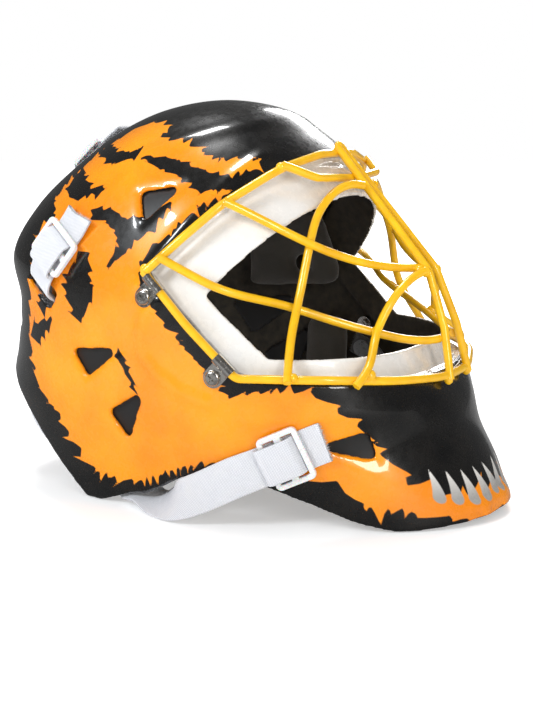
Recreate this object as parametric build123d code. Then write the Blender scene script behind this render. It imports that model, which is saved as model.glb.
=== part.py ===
from build123d import *
import math
import os

os.makedirs("parts", exist_ok=True)

# Goalie mask, millimetres. X runs across the face (+X is the wearer's left), -Y is forward and +Z is up.
# The mask stands on its chin rim and its two rear corners at Z = 0, and it is symmetric about X = 0.

# ---- driving dimensions -------------------------------------------------------------------------
SHELL_WALL = 4.0
FLANGE_DEPTH = 6.0        # how far the eye port's flange lies under the outer surface
FLANGE_WALL = 3.0
WIRE_D = 5.0              # cage wire
WIRE_LIFT = 4.2           # wire centre above the shell
STRAP_W = 24.0
STRAP_T = 1.8
PAD_GAP = 0.7             # glue gap between the pads and the inner surface
PAD_T = 11.0
PLATE_INSET = 2.0         # backplate's outer face under the shell's outer surface
PLATE_T = 3.0
SCREW_R = 2.0
CROWN_Z = 246.0
CROWN_Y = 28.0
CROWN_CAP = 0.3           # part of the last row gap that ends flat, as a small disc
VENT_CORNER = 2.5
FRAME_SHIFT_Y = -0.8      # puts the middle of the mask's length at Y = 0

# Outer surface, one row per height: height, half width, middle Y, reach forward, reach back,
# and the exponents of the front and rear superellipses.
SECTIONS = [
    (-25, 90, 20, 184, 120, 2.1, 3.0),
    (0, 96, 15, 179, 135, 2.1, 3.0),
    (25, 102, 12, 167, 148, 2.1, 3.0),
    (48, 106, 10, 152, 156, 2.1, 3.0),
    (68, 109, 10, 145, 158, 2.2, 3.0),
    (88, 110, 10, 134, 152, 2.5, 3.0),
    (120, 111, 12, 126, 145, 2.4, 3.0),
    (150, 108, 16, 110, 149, 2.3, 2.9),
    (180, 98, 20, 93, 130, 2.2, 2.6),
    (205, 83, 24, 78, 100, 2.2, 2.4),
    (225, 63, 28, 61, 71, 2.1, 2.2),
    (240, 36, 28, 38, 39, 2.0, 2.0),
    (CROWN_Z, 0, CROWN_Y, 0, 0, 2.0, 2.0),
    (240, -36, 28, -38, -39, 2.0, 2.0),
]
CROWN_ROW = len(SECTIONS) - 2

# Side outlines, as (Y, Z) points.
RIM_LINE = [(-175, 6), (-150, 2), (-132, 0), (-118, 0), (-100, 5), (-75, 16), (-45, 27), (-25, 31),
            (-10, 29), (3, 25), (17, 17), (29, 11), (45, 7.5), (58, 3), (66, 0), (80, 0)]
NAPE_LINE = [(80, 0), (200, 136)]
FRAME_LINE = [(-210, 213), (-46, 213), (-36, 204), (-17, 185), (0, 166), (19, 147), (-37, 93),
              (-44, 90), (-110, 87), (-210, 83)]
RECESS_LINE = [(-214, 216), (-45, 216.5), (-33, 206.5), (-14, 187.5), (3, 168.5), (23.5, 147.5),
               (-36, 89.5), (-44, 86.8), (-110, 83.8), (-214, 79.8)]
PORT_LINE = [(-210, 195), (-62, 195), (-57, 184), (-15, 135), (-52, 101), (-210, 101)]
VENTS = [
    [(36, 192), (7, 197), (29, 175)],
    [(78, 97), (39, 101), (66, 81)],
    [(51, 61), (24, 77), (38, 44)],
    [(-77, 50), (-104, 59), (-109, 42)],
]

# Rear opening and backplate, across X and up Z.
OPENING_HALF = 61.0
OPENING_TOP = 165.0
OPENING_CORNER = 34.0
PLATE_HALF = 53.0
PLATE_LOW = 40.0
PLATE_TOP = 155.0
HINGE_Y = 150.0
HINGE_Z = 168.0


# ---- the outer surface as a formula -------------------------------------------------------------
def row_between(step):
    """The section row at a fractional row number, on a smooth curve through the rows."""
    low = min(max(int(math.floor(step)), 1), CROWN_ROW - 1)
    part = step - low
    a, b, c, d = SECTIONS[low - 1], SECTIONS[low], SECTIONS[low + 1], SECTIONS[low + 2]
    row = []
    for i in range(7):
        slope = (c[i] - a[i]) * part
        bend = (2 * a[i] - 5 * b[i] + 4 * c[i] - d[i]) * part ** 2
        twist = (3 * b[i] - 3 * c[i] + d[i] - a[i]) * part ** 3
        row.append(0.5 * (2 * b[i] + slope + bend + twist))
    return row


def row_at(z):
    """The section row at height z, found by halving."""
    low, high = 1.0, float(CROWN_ROW)
    for _ in range(40):
        middle = 0.5 * (low + high)
        if row_between(middle)[0] < z:
            low = middle
        else:
            high = middle
    return row_between(low)


def side_x(y, z):
    """How far out the surface is at (y, z)."""
    _, half, middle, front, rear, n_front, n_rear = row_at(z)
    reach, power = (front, n_front) if y < middle else (rear, n_rear)
    ratio = min(abs(y - middle) / reach, 1.0)
    return half * (1 - ratio ** power) ** (1 / power)


def rear_y(x, z):
    """How far back the surface is at (x, z)."""
    _, half, middle, _, rear, _, power = row_at(z)
    ratio = min(abs(x) / half, 1.0)
    return middle + rear * (1 - ratio ** power) ** (1 / power)


def side_point(y, z, lift=0.0):
    """Point over the right side (-X), and the surface's outward normal there."""
    step = 0.5
    here = Vector(-side_x(y, z), y, z)
    along = Vector(-side_x(y + step, z), y + step, z) - here
    up = Vector(-side_x(y, z + step), y, z + step) - here
    normal = up.cross(along).normalized()
    if normal.X > 0:
        normal = normal * -1
    return here + normal * lift, normal


def rear_point(x, z, lift=0.0):
    """Point over the back, and the surface's outward normal there."""
    step = 0.5
    here = Vector(x, rear_y(x, z), z)
    along = Vector(x + step, rear_y(x + step, z), z) - here
    up = Vector(x, rear_y(x, z + step), z + step) - here
    normal = up.cross(along).normalized()
    if normal.Y < 0:
        normal = normal * -1
    return here + normal * lift, normal


# ---- tools --------------------------------------------------------------------------------------
def section_wire(row, inset, points=32):
    """One closed section, moved in from the outer surface by inset."""
    z, half, middle, front, rear, n_front, n_rear = row
    steep = max(0.0, z / CROWN_Z) ** 5
    side_inset = inset * math.sqrt(1 - steep ** 2)
    ring = []
    for i in range(points):
        turn = 2 * math.pi * i / points
        ahead = math.cos(turn) > 0
        power = n_front if ahead else n_rear
        reach = side_inset - front if ahead else rear - side_inset
        x = (half - side_inset) * math.copysign(abs(math.sin(turn)) ** (2 / power), math.sin(turn))
        ring.append(Vector(x, middle + reach * abs(math.cos(turn)) ** (2 / power), z - inset * steep))
    return Wire([Edge.make_spline(ring, periodic=True)])


def head_form(inset):
    """The whole closed head form, inset from the outer surface."""
    rows = SECTIONS[:CROWN_ROW] + [row_between(CROWN_ROW - CROWN_CAP)]
    return Solid.make_loft([section_wire(row, inset) for row in rows])


def layer(outer_inset, inner_inset):
    return head_form(outer_inset) - head_form(inner_inset)


def side_prism(points, half=200.0, radius=0.0):
    """A (Y, Z) outline pushed across the whole mask."""
    outline = make_face(Plane.YZ * Polyline(*points, close=True))
    if radius:
        outline = fillet(outline.vertices(), radius)
    return extrude(outline, amount=half, both=True)


def front_slot(half, low, high, corner, near, far):
    """A round-topped opening seen from behind, from Y = near to Y = far."""
    block = Box(2 * half, far - near, high - low)
    block = block.moved(Location((0, 0.5 * (near + far), 0.5 * (low + high))))
    top_edges = [e for e in block.edges().filter_by(Axis.Y) if e.center().Z > 0.5 * (low + high)]
    return fillet(top_edges, corner)


def wire_rod(path, radius=0.5 * WIRE_D):
    """A round rod swept along a path."""
    start = Plane(origin=path @ 0, z_dir=path % 0)
    return sweep(start * Circle(radius), path=path)


def band(stations, width=STRAP_W, thickness=STRAP_T):
    """A flat strap through (centre, across direction) stations."""
    wires = []
    for i, (centre, across) in enumerate(stations):
        before = stations[max(i - 1, 0)][0]
        after = stations[min(i + 1, len(stations) - 1)][0]
        along = (after - before).normalized()
        side = (across - along * across.dot(along)).normalized()
        face = along.cross(side)
        corners = []
        for a, b in ((1, 1), (-1, 1), (-1, -1), (1, -1)):
            corners.append(centre + side * (0.5 * width * a) + face * (0.5 * thickness * b))
        wires.append(Wire.make_polygon(corners, close=True))
    return Solid.make_loft(wires, ruled=True)


def frame_at(origin, along, normal):
    """A plane whose x runs along a strap or wire and whose z leaves the surface."""
    along = (along - normal * along.dot(normal)).normalized()
    return Plane(origin=origin, x_dir=along, z_dir=normal)


def left(shape):
    return shape.mirror(Plane.YZ)


def save(name, *solids):
    shape = solids[0] if len(solids) == 1 else Compound(list(solids))
    export_step(shape, f"parts/{name}.step")


# ---- straps and buckles: where they run ---------------------------------------------------------
STRAP_LIFT = 0.5 + 0.5 * STRAP_T      # strap's middle over the shell
BUCKLE_FLAT = 17.0                    # half length of the straight stretch under a buckle
BUCKLE_X = 12.5                       # buckle's half length along the strap
BUCKLE_Y = 16.5                       # buckle's half width across the strap
BUCKLE_BAR = 3.3
BUCKLE_T = 3.0
BUCKLE_GAP = 0.35


def side_buckle_plane(y, z, toward):
    """Strap plane at a side buckle; toward is the (Y, Z) point that the strap runs to."""
    origin, normal = side_point(y, z, STRAP_LIFT)
    ahead, _ = side_point(*toward)
    return frame_at(origin, ahead - origin, normal)


UPPER_BUCKLE = side_buckle_plane(88, 157, (74, 175))
LOWER_BUCKLE = side_buckle_plane(-64, 45, (-82, 54))
TOP_ORIGIN, TOP_NORMAL = rear_point(0, 205, STRAP_LIFT + 5.0)
TOP_BUCKLE = frame_at(TOP_ORIGIN, Vector(0, -10, 10), TOP_NORMAL)


def on_plane(plane, x, lift=0.0):
    return plane.origin + plane.x_dir * x + plane.z_dir * lift


def buckle_solid():
    """Two-window slider at the origin, with the strap's top face at z = STRAP_T / 2."""
    low = 0.5 * STRAP_T + BUCKLE_GAP
    body = Box(2 * BUCKLE_X, 2 * BUCKLE_Y, BUCKLE_T)
    body = fillet(body.edges().filter_by(Axis.Z), 3.2)
    window_x = BUCKLE_X - BUCKLE_BAR - 2.2
    window = Box(window_x, 2 * (BUCKLE_Y - BUCKLE_BAR), 3 * BUCKLE_T)
    for side in (-1, 1):
        body -= window.moved(Location((side * (2.2 + 0.5 * window_x), 0, 0)))
    rim = [e for e in body.edges() if abs(abs(e.center().Z) - 0.5 * BUCKLE_T) < 0.01]
    body = fillet(rim, 0.7)
    return body.moved(Location((0, 0, low + 0.5 * BUCKLE_T)))


def strap_loop():
    """The strap's turn over the buckle's middle bar."""
    low = 0.5 * STRAP_T + BUCKLE_GAP
    high = low + BUCKLE_T + BUCKLE_GAP
    half = 3.4
    outer = [(-7.6, low), (-4.6, high + 1.5), (4.6, high + 1.5), (7.6, low)]
    inner = [(6.0, low), (half, high), (-half, high), (-6.0, low)]
    profile = make_face(Plane.XZ * Polyline(*outer, *inner, close=True))
    return extrude(profile, amount=0.5 * STRAP_W - 0.5, both=True)


# ---- shell --------------------------------------------------------------------------------------
def strap_slot(plane, length=11.5):
    """Cutter for the slot that a strap passes through the shell."""
    return Box(length, STRAP_W + 5, 26).moved(plane.location)


TOP_SLOT_POINT, TOP_SLOT_NORMAL = rear_point(0, 179)
TOP_SLOT = frame_at(TOP_SLOT_POINT, Vector(0, -10, 14), TOP_SLOT_NORMAL)
UPPER_SLOT_POINT, UPPER_SLOT_NORMAL = side_point(103, 133)
UPPER_SLOT = frame_at(UPPER_SLOT_POINT, UPPER_BUCKLE.x_dir, UPPER_SLOT_NORMAL)

CLIP_REACH = 11.0         # screw's distance from the wire
CLIP_ENDS = 10.0          # clips' distance from the side bar's two corners
SIDE_BAR = [side_point(y, z, WIRE_LIFT)[0] for y, z in ((19.5, 147.5), (-10, 119), (-39, 91))]


def clip_plane(corner, middle):
    """Plane under a clip: x along the side wire, y from the wire to the screw."""
    inward = (middle - corner).normalized()
    centre = corner + inward * CLIP_ENDS
    _, normal = side_point(centre.Y, centre.Z)
    normal = (normal - inward * normal.dot(inward)).normalized()
    along = inward if inward.Z > 0 else inward * -1
    return Plane(origin=centre - normal * WIRE_LIFT, x_dir=along, z_dir=normal)


def clip_planes():
    return [clip_plane(SIDE_BAR[0], SIDE_BAR[1]), clip_plane(SIDE_BAR[2], SIDE_BAR[1])]


def screw_location(plane, lift=0.0):
    return plane.location * Location((0, CLIP_REACH, lift))


def make_shell():
    """Outer form, stepped in under the cage, hollowed, then cut open."""
    step_in = side_prism(FRAME_LINE).cut(head_form(FLANGE_DEPTH))
    hollow_step = side_prism(RECESS_LINE).cut(head_form(FLANGE_DEPTH + FLANGE_WALL))
    shell = head_form(0).cut(step_in).cut(head_form(SHELL_WALL).cut(hollow_step))
    below = RIM_LINE + NAPE_LINE[1:] + [(200, -60), (-210, -60), (-210, 6)]
    opening = front_slot(OPENING_HALF, -60, OPENING_TOP, OPENING_CORNER, 60, 220)
    shell = shell.cut(side_prism(PORT_LINE), side_prism(below), opening)
    cutters = [side_prism(vent, radius=VENT_CORNER) for vent in VENTS]
    cutters += [strap_slot(TOP_SLOT), strap_slot(UPPER_SLOT), left(strap_slot(UPPER_SLOT))]
    for plane in clip_planes():
        hole = Cylinder(SCREW_R + 0.3, 30).moved(screw_location(plane))
        cutters += [hole, left(hole)]
    return shell.cut(*cutters)


# ---- cage ---------------------------------------------------------------------------------------
# Right-hand routes; the left-hand ones are their mirror images.
SIDE_FRAME = [tuple(point) for point in SIDE_BAR] + [(-95, -84, 91.5), (-63, -117, 88.5), (-20, -131, 84.5)]
UPPER_FRAME = [(-114, 17, 149), (-107, -2, 167), (-92.5, -20, 186), (-60.5, -41.5, 206),
               (-22, -49.5, 213.5)]
BROW_BAR = [(-60, -43, 208), (-44, -57, 200.5), (0, -61.5, 198.5)]
CENTRE_BAR = [(-2.6, -50.5, 217.5), (-6, -113.5, 145), (-10.5, -126, 112), (-15.5, -132.5, 82)]
UPPER_CROSS = [(-93.5, -23, 188.5), (-80, -42, 177), (-66.5, -59, 166), (-50, -72, 157), (-35, -84.5, 151),
               (-20, -97, 147.5), (-6.5, -108, 146.5)]
LOWER_CROSS = [(-113.5, 9, 157.5), (-107.5, -7, 148.3), (-102.3, -23.2, 140.4), (-72, -51.5, 128), (-58, -73, 119.5),
               (-45, -92.5, 112.5), (-31, -109, 107), (-12, -123.5, 105.5)]
EYE_ARCH = [(-8.5, -71, 194.5), (-21, -66, 195), (-36, -62, 189), (-48.5, -60, 178.5), (-59, -60.5, 164),
            (-74.5, -60.5, 130), (-87, -63, 114), (-98.5, -67, 100), (-106, -70, 90.5)]
CHIN_ARC = [(-85.5, -102.5, 88), (-67.5, -103.5, 100), (-47, -98.5, 113.5), (-37, -102, 128), (-24, -107, 139.5),
            (-9, -112.5, 145)]


def mirrored_route(points):
    return list(points) + [(-x, y, z) for x, y, z in reversed(points)]


def smooth_rod(points):
    return wire_rod(Edge.make_spline([Vector(*p) for p in points]))


def bent_rod(points, radii):
    return wire_rod(FilletPolyline(*points, radius=radii))


def make_cage():
    whole = {
        "cage_side_frame": bent_rod(mirrored_route(SIDE_FRAME),
                                    [90, 8, 60, 60, 80, 80, 60, 60, 8, 90]),
        "cage_upper_frame": bent_rod(mirrored_route(UPPER_FRAME),
                                     [40, 40, 50, 40, 40, 50, 40, 40]),
        "cage_brow_bar": bent_rod(BROW_BAR + [(44, -57, 200.5), (60, -43, 208)], [8, 120, 8]),
    }
    halves = {
        "cage_centre_bar": bent_rod(CENTRE_BAR, [12, 12]),
        "cage_upper_cross": smooth_rod(UPPER_CROSS),
        "cage_lower_cross": smooth_rod(LOWER_CROSS),
        "cage_eye_arch": smooth_rod(EYE_ARCH),
        "cage_chin_arc": smooth_rod(CHIN_ARC),
    }
    for name, rod in halves.items():
        whole[name + "_right"] = rod
        whole[name + "_left"] = left(rod)
    return whole


# ---- clips, screws and nuts ---------------------------------------------------------------------
def clip_solid():
    """Sheet clip at the origin: a sleeve round the wire and an ear for the screw."""
    sleeve_r = 0.5 * WIRE_D + 0.9
    sleeve = Cylinder(sleeve_r, 13).moved(Location((0, 0, WIRE_LIFT), (0, 90, 0)))
    ear = Box(12, CLIP_REACH, 1.2).moved(Location((0, 0.5 * CLIP_REACH, 1.3)))
    ear += Cylinder(6, 1.2).moved(Location((0, CLIP_REACH, 1.3)))
    clip = sleeve + ear
    clip -= Cylinder(0.5 * WIRE_D + 0.05, 14).moved(Location((0, 0, WIRE_LIFT), (0, 90, 0)))
    clip -= Cylinder(SCREW_R + 0.25, 10).moved(Location((0, CLIP_REACH, 1.3)))
    return clip


def screw_solid():
    """Pan-head cross-recess screw, its seat at z = 0 and its shank down -Z."""
    head = Cylinder(4.6, 2.6).moved(Location((0, 0, 1.3)))
    head = fillet([e for e in head.edges() if e.center().Z > 2], 1.8)
    for turn in (0, 90):
        head -= Box(5.2, 1.1, 2.4).moved(Location((0, 0, 2.6), (0, 0, turn)))
    return head + Cylinder(SCREW_R, 11).moved(Location((0, 0, -5.4)))


def nut_solid():
    """Hexagon nut with its washer face up at z = 0."""
    nut = extrude(RegularPolygon(4.0, 6), amount=-3.2)
    nut += Cylinder(5.5, 0.9).moved(Location((0, 0, -0.45)))
    return nut - Cylinder(SCREW_R + 0.05, 12)


def make_fasteners():
    clips, screws, nuts = [], [], []
    for plane in clip_planes():
        clips.append(clip_solid().moved(plane.location))
        screws.append(screw_solid().moved(screw_location(plane, 1.92)))
        nuts.append(nut_solid().moved(screw_location(plane, -SHELL_WALL - 1.0)))
    return {
        "cage_clips": clips + [left(clip) for clip in clips],
        "clip_screws": screws + [left(screw) for screw in screws],
        "clip_nuts": nuts + [left(nut) for nut in nuts],
    }


# ---- straps -------------------------------------------------------------------------------------
X_ACROSS = Vector(1, 0, 0)


def make_straps():
    """Each strap's outer run, from just inside the shell to its cut end."""
    along = UPPER_BUCKLE.x_dir
    across = UPPER_BUCKLE.y_dir
    inner, _ = side_point(105.6, 129.4, -SHELL_WALL - 2.6)
    deep, _ = rear_point(-78, 128, -SHELL_WALL - 3.0)
    outside = UPPER_SLOT.origin + UPPER_SLOT.z_dir * STRAP_LIFT + along * 2.2
    upper = band([
        (deep, Vector(0, 0.2, 1)), (inner, across * -1), (outside, across * -1),
        (on_plane(UPPER_BUCKLE, -BUCKLE_FLAT), across * -1),
        (on_plane(UPPER_BUCKLE, BUCKLE_FLAT), across * -1),
        (on_plane(UPPER_BUCKLE, BUCKLE_FLAT + 8, 0.8), across * -1),
    ])
    over = LOWER_BUCKLE.y_dir
    if over.Z < 0:
        over = over * -1
    lower = band([
        (Vector(-63, 144, 52), Vector(0, 0, 1)),
        (Vector(-77, 118, 40), Vector(0.1, 0, 1)),
        (Vector(-86, 85, 25), Vector(0.1, 0, 1)),
        (Vector(-85.5, 54, 14.4), Vector(3, 0, 11.6)),
        (Vector(-90.5, 33, 6.4), Vector(12, 0, 2)),
        (Vector(-99.5, 17, 8.0), Vector(10.2, 0, 6.0)),
        (Vector(-107.8, 2, 13.0), Vector(4.2, 0, 11.2)),
        (Vector(-108, -14, 20), Vector(1, 0, 12)),
        (Vector(-104.2, -36, 31.5), Vector(0.6, 0, 12)),
        (on_plane(LOWER_BUCKLE, -BUCKLE_FLAT), over),
        (on_plane(LOWER_BUCKLE, BUCKLE_FLAT), over),
        (on_plane(LOWER_BUCKLE, BUCKLE_FLAT + 7, 0.4), over),
    ])
    top_outside = TOP_SLOT.origin + TOP_SLOT.z_dir * STRAP_LIFT + TOP_SLOT.x_dir * 2.4
    top_inside = TOP_SLOT.origin - TOP_SLOT.z_dir * (SHELL_WALL + 2.4) - TOP_SLOT.x_dir * 3.0
    top_low, _ = rear_point(0, 168, -SHELL_WALL - 3.0)
    top = band([
        (top_low, X_ACROSS), (top_inside, X_ACROSS), (top_outside, X_ACROSS),
        (on_plane(TOP_BUCKLE, -BUCKLE_FLAT), X_ACROSS),
        (on_plane(TOP_BUCKLE, BUCKLE_FLAT), X_ACROSS),
        (on_plane(TOP_BUCKLE, BUCKLE_FLAT + 12, -1.0), X_ACROSS),
    ])
    return {
        "strap_top": top,
        "strap_upper_right": upper,
        "strap_upper_left": left(upper),
        "strap_lower_right": lower,
        "strap_lower_left": left(lower),
    }


def make_buckles():
    parts = {}
    buckle, loop = buckle_solid(), strap_loop()
    for name, plane in (("upper", UPPER_BUCKLE), ("lower", LOWER_BUCKLE)):
        for kind, solid in (("buckle", buckle), ("strap_loop", loop)):
            placed = solid.moved(plane.location)
            parts[f"{kind}_{name}_right"] = placed
            parts[f"{kind}_{name}_left"] = left(placed)
    parts["buckle_top"] = buckle.moved(TOP_BUCKLE.location)
    parts["strap_loop_top"] = loop.moved(TOP_BUCKLE.location)
    return parts


# ---- backplate ----------------------------------------------------------------------------------
TAB_INSET = PLATE_INSET + PLATE_T + 0.6 + 0.5 * STRAP_T


def plate_tab(x, z):
    point, normal = rear_point(x, z, -TAB_INSET)
    return point, normal


def make_backplate():
    """Plate in the rear opening, its foam, the straps' sewn ends and their rivets."""
    window = front_slot(PLATE_HALF, PLATE_LOW, PLATE_TOP, 30.0, 90, 220)
    low_edges = [e for e in window.edges().filter_by(Axis.Y) if e.center().Z < PLATE_LOW + 5]
    window = fillet(low_edges, 18)
    plate = layer(PLATE_INSET, PLATE_INSET + PLATE_T) & window
    foam_window = front_slot(32, PLATE_LOW + 10, PLATE_TOP - 34, 14, 90, 220)
    foam_inset = PLATE_INSET + PLATE_T + 0.4
    foam = layer(foam_inset, foam_inset + PAD_T) & foam_window
    tabs = {}
    rivets = []
    for name, z in (("upper", 127), ("lower", 58)):
        rise = plate_tab(-44, z + 8)[0] - plate_tab(-44, z - 8)[0]
        stations = [(plate_tab(x, z)[0], rise) for x in (-36, -41, -46, -51)]
        tab = band(stations)
        tabs[f"strap_tab_{name}_right"] = tab
        tabs[f"strap_tab_{name}_left"] = left(tab)
        rivets.append(plate_tab(-42, z))
    stations = [(plate_tab(0, z)[0], X_ACROSS) for z in (126, 138, 152)]
    tabs["strap_tab_top"] = band(stations)
    rivets.append(plate_tab(0, 136))
    shanks = []
    for point, normal in rivets:
        plane = Plane(origin=point, z_dir=normal)
        outer_lift = TAB_INSET - PLATE_INSET + 0.05
        rivet = Cylinder(1.6, 1.2 + TAB_INSET).moved(plane.location * Location((0, 0, 0.5 * outer_lift - 0.5)))
        head = Cylinder(4.2, 1.2).moved(plane.location * Location((0, 0, outer_lift + 0.6)))
        washer = Cylinder(4.2, 0.9).moved(plane.location * Location((0, 0, -0.5 * STRAP_T - 0.5)))
        shanks.append(rivet + head + washer)
    holes = []
    for point, normal in rivets:
        plane = Plane(origin=point, z_dir=normal)
        holes.append(Cylinder(1.65, 30).moved(plane.location))
    all_holes = holes + [left(hole) for hole in holes[:2]]
    plate = plate.cut(*all_holes)
    for name in tabs:
        tabs[name] = tabs[name].cut(*all_holes)
    rivet_set = shanks + [left(shank) for shank in shanks[:2]]
    return plate, foam, tabs, rivet_set


# ---- pads, chin cup and harness -----------------------------------------------------------------
def rounded_prism(points, low_x, high_x, radius):
    """A (Y, Z) outline from low_x to high_x, with rounded corners."""
    outline = fillet(make_face(Plane.YZ * Polyline(*points, close=True)).vertices(), radius)
    return extrude(outline, amount=high_x - low_x).moved(Location((low_x, 0, 0)))


def make_pads():
    near = layer(SHELL_WALL + PAD_GAP, SHELL_WALL + PAD_GAP + PAD_T)
    flange_back = FLANGE_DEPTH + FLANGE_WALL + PAD_GAP
    deep = layer(flange_back, flange_back + PAD_T)
    temple = deep & rounded_prism([(-12, 118), (66, 112), (60, 168), (4, 172)], -130, -50, 9)
    temple -= Cylinder(7.0, 50).moved(screw_location(clip_planes()[0]))
    cheek = near & rounded_prism([(-13, 46), (19, 46), (21, 94), (-13, 97)], -130, -60, 9)
    forehead_box = Box(104, 60, 30).moved(Location((0, -50, 212)))
    forehead = deep & fillet(forehead_box.edges().filter_by(Axis.Y), 8)
    crown_box = Box(70, 92, 60).moved(Location((0, 46, 240)))
    crown = near & fillet(crown_box.edges().filter_by(Axis.Z), 14)
    return {
        "temple_pad_right": temple,
        "temple_pad_left": left(temple),
        "cheek_pad_right": cheek,
        "cheek_pad_left": left(cheek),
        "forehead_pad": forehead,
        "crown_pad": crown,
    }


CUP_CENTRE = (0, -98, 34)
CUP_HALF = 37.0
CUP_R = 25.0
CUP_WALL = 3.0
CUP_TILT = 50.0            # the cup opens backwards, this many degrees above level
CUP_LIP = 3.0              # its cut rim lies this far past its middle
SNAP_Y = -26.0
SNAP_Z = 74.0


def cup_form(shrink):
    """Ellipsoid about the X axis through the cup's centre, its two poles cut flat."""
    half, radius = CUP_HALF - shrink, CUP_R - shrink
    arch = EllipticalCenterArc((0, 0), half, radius, start_angle=6, arc_size=168)
    ends = (arch @ 0, arch @ 1)
    profile = make_face([arch, Edge.make_line(ends[1], (ends[1].X, 0)),
                         Edge.make_line((ends[1].X, 0), (ends[0].X, 0)),
                         Edge.make_line((ends[0].X, 0), ends[0])])
    return revolve(profile, axis=Axis.X).moved(Location(CUP_CENTRE))


def make_chin_cup():
    """Open cup, its soft liner, and the two webbing arms that hang it from the snaps."""
    opening = Box(120, 80, 120).moved(Location(CUP_CENTRE, (CUP_TILT, 0, 0)) * Location((0, 40 + CUP_LIP, 0)))
    cup = cup_form(0) - cup_form(CUP_WALL) - opening
    liner = cup_form(CUP_WALL + 0.3) - cup_form(CUP_WALL + 5) - opening.moved(Location((0, 0, -2)))
    snap_x = -side_x(SNAP_Y, SNAP_Z) + SHELL_WALL
    arm = band([
        (Vector(-37.6, -101, 34), Vector(0, 0.3, 1)),
        (Vector(-46, -86, 42), Vector(0, 0.4, 1)),
        (Vector(snap_x + 17, -52, 60), Vector(0, 0.4, 1)),
        (Vector(snap_x + 6.8, SNAP_Y - 9, SNAP_Z - 4), Vector(0, 0.4, 1)),
        (Vector(snap_x + 4.6, SNAP_Y + 8, SNAP_Z + 3), Vector(0, 0.4, 1)),
    ], width=16, thickness=1.6)
    arm -= Cylinder(4.0, 20).moved(Location((snap_x + 5, SNAP_Y, SNAP_Z), (0, 90, 0)))
    stud = Cylinder(3.0, 10.4).moved(Location((snap_x + 4.2, SNAP_Y, SNAP_Z), (0, 90, 0)))
    cap = Cylinder(6.0, 1.4).moved(Location((snap_x + 9.4, SNAP_Y, SNAP_Z), (0, 90, 0)))
    snap = stud + cap
    return cup, liner, arm, snap


# ---- build --------------------------------------------------------------------------------------
def main():
    parts = {"shell": [make_shell()]}
    for name, rod in make_cage().items():
        parts[name] = [rod]
    parts.update(make_fasteners())
    for group in (make_straps(), make_buckles(), make_pads()):
        for name, solid in group.items():
            parts[name] = [solid]
    plate, foam, tabs, rivets = make_backplate()
    parts["backplate"] = [plate]
    parts["backplate_foam"] = [foam]
    parts["plate_rivets"] = rivets
    for name, solid in tabs.items():
        parts[name] = [solid]
    cup, liner, arm, snap = make_chin_cup()
    parts["chin_cup"] = [cup]
    parts["chin_cup_liner"] = [liner]
    parts["chin_arm_right"] = [arm]
    parts["chin_arm_left"] = [left(arm)]
    parts["chin_snaps"] = [snap, left(snap)]
    for name, solids in parts.items():
        save(name, *[solid.moved(Location((0, FRAME_SHIFT_Y, 0))) for solid in solids])


main()
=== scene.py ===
import math

import bmesh
import bpy
import numpy as np
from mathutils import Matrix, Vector
from mathutils.kdtree import KDTree


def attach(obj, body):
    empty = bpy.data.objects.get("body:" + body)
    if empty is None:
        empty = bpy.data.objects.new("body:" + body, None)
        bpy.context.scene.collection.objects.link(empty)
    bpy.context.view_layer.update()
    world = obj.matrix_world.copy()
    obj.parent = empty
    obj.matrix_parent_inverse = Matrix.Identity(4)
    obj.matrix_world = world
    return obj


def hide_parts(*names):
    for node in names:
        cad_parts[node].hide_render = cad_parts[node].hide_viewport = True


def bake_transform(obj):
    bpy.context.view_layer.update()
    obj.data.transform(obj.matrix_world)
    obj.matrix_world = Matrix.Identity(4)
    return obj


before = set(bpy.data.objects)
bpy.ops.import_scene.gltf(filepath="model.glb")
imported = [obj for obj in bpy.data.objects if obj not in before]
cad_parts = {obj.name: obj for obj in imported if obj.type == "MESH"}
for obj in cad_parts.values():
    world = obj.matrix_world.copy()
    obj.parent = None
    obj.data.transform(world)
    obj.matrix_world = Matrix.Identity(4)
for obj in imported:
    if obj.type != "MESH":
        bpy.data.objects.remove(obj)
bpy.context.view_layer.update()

MM = 0.001
SHIFT = -0.8              # the model's Y shift in part.py, mm
rng = np.random.default_rng(11)

# ---- the shell's outer surface, as in part.py, in millimetres ----------------------------------
SECTIONS = np.array([
    (-25, 90, 20, 184, 120, 2.1, 3.0), (0, 96, 15, 179, 135, 2.1, 3.0),
    (25, 102, 12, 167, 148, 2.1, 3.0), (48, 106, 10, 152, 156, 2.1, 3.0),
    (68, 109, 10, 145, 158, 2.2, 3.0), (88, 110, 10, 134, 152, 2.5, 3.0),
    (120, 111, 12, 126, 145, 2.4, 3.0), (150, 108, 16, 110, 149, 2.3, 2.9),
    (180, 98, 20, 93, 130, 2.2, 2.6), (205, 83, 24, 78, 100, 2.2, 2.4),
    (225, 63, 28, 61, 71, 2.1, 2.2), (240, 36, 28, 38, 39, 2.0, 2.0),
    (246, 0, 28, 0, 0, 2.0, 2.0), (240, -36, 28, -38, -39, 2.0, 2.0),
])


def fine_rows(per_row=60):
    """The section rows along a smooth curve through them."""
    rows = []
    for step in np.linspace(1, 12, 11 * per_row + 1):
        low = min(int(step), 11)
        t = step - low
        a, b, c, d = SECTIONS[low - 1:low + 3]
        rows.append(0.5 * (2 * b + (c - a) * t + (2 * a - 5 * b + 4 * c - d) * t ** 2
                           + (3 * b - 3 * c + d - a) * t ** 3))
    return np.array(rows)


ROWS = fine_rows()


def row(z):
    return [np.interp(z, ROWS[:, 0], ROWS[:, i]) for i in range(1, 7)]


def side_x(y, z):
    half, middle, front, rear, n_front, n_rear = row(z)
    ahead = y < middle
    reach = np.where(ahead, front, rear)
    power = np.where(ahead, n_front, n_rear)
    ratio = np.minimum(np.abs(y - middle) / reach, 1.0)
    return half * (1 - ratio ** power) ** (1 / power)


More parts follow.
